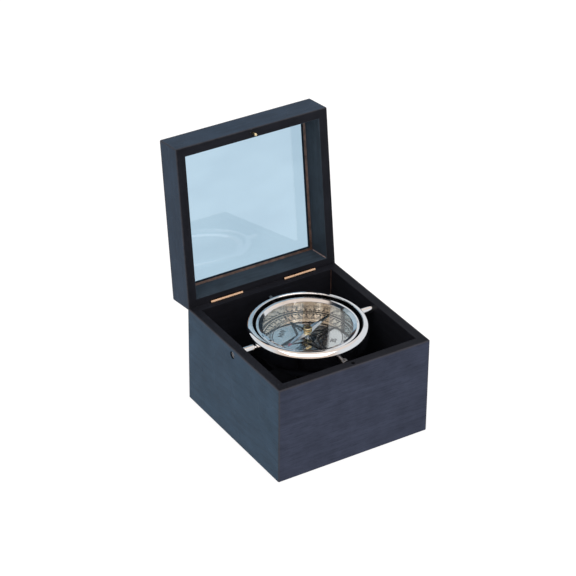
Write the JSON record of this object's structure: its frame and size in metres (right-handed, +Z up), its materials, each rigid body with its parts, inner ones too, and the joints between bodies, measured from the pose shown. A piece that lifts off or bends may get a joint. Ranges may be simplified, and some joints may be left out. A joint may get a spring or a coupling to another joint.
{
  "type": "ship compass",
  "caption": "Boxed gimballed ship compass: square black wooden case, glazed hinged lid, chromed ring and bowl, magnetic needle over a silvered dial.",
  "frame": {"origin": "centre of the case's flat underside", "axes": "+Z up, +X to the right along the hinge line, +Y from the front towards the hinges"},
  "size_m": [0.102, 0.1318, 0.1626],
  "materials": {
    "black_wood": "black stained and varnished, semi-gloss, faint grain",
    "chrome": "polished plating with fine turning marks",
    "brass": "polished, slightly aged",
    "lid_glass": "clear sheet glass",
    "bowl_glass": "clear polished glass",
    "glue": "dried amber glue",
    "seal_rubber": "matt",
    "sleeve_metal": "polished, champagne tint",
    "dial_silver": "mirror-polished silvering with etched black marks",
    "needle_steel": "polished steel",
    "dial_enamel": "black enamel in the etched marks",
    "red_paint": "red paint on one end of the needle",
    "jewel": "polished dark agate"
  },
  "bodies": {
    "case": {"front_wall": "black_wood", "back_wall": "black_wood", "left_wall": "black_wood", "right_wall": "black_wood", "bottom_panel": "black_wood", "left_hinge_box_leaf": "brass", "right_hinge_box_leaf": "brass", "left_hinge_pin": "brass", "right_hinge_pin": "brass", "hinge_box_screws": "brass", "left_post": "chrome", "right_post": "chrome", "left_post_screw": "brass", "right_post_screw": "brass"},
    "lid": {"lid_front_rail": "black_wood", "lid_back_rail": "black_wood", "lid_left_rail": "black_wood", "lid_right_rail": "black_wood", "lid_glass": "lid_glass", "lid_glass_bead": "glue", "lid_pin": "brass", "left_hinge_lid_leaf": "brass", "right_hinge_lid_leaf": "brass", "hinge_lid_screws": "brass"},
    "ring": {"gimbal_ring": "chrome", "front_pivot_screw": "chrome", "rear_pivot_screw": "chrome"},
    "bowl": {"bowl_shell": "chrome", "bezel": "chrome", "glass_seal": "seal_rubber", "bowl_glass": "bowl_glass", "sleeve": "sleeve_metal", "dial_plate": "dial_silver", "pivot_post": "needle_steel", "bowl_weight": "brass", "weight_screw": "brass"},
    "compass_needle": {"needle": "needle_steel", "needle_cap": "brass", "needle_collar": "brass", "cap_jewel": "jewel"}
  },
  "joints": [
    {"name": "lid_hinge", "type": "hinge", "parent": "case", "child": "lid", "pos_m": [0, 0.0498, 0.0626], "axis": [-1, 0, 0], "range_deg": [-97, 0]},
    {"name": "ring_tilt", "type": "hinge", "parent": "case", "child": "ring", "pos_m": [0, 0, 0.0582], "axis": [1, 0, 0], "range_deg": [-20, 20]},
    {"name": "bowl_tilt", "type": "hinge", "parent": "ring", "child": "bowl", "pos_m": [0, 0, 0.0582], "axis": [0, 1, 0], "range_deg": [-20, 20]},
    {"name": "needle_spin", "type": "hinge", "parent": "bowl", "child": "compass_needle", "pos_m": [0, 0, 0.0582], "axis": [0, 0, 1], "continuous": true}
  ]
}
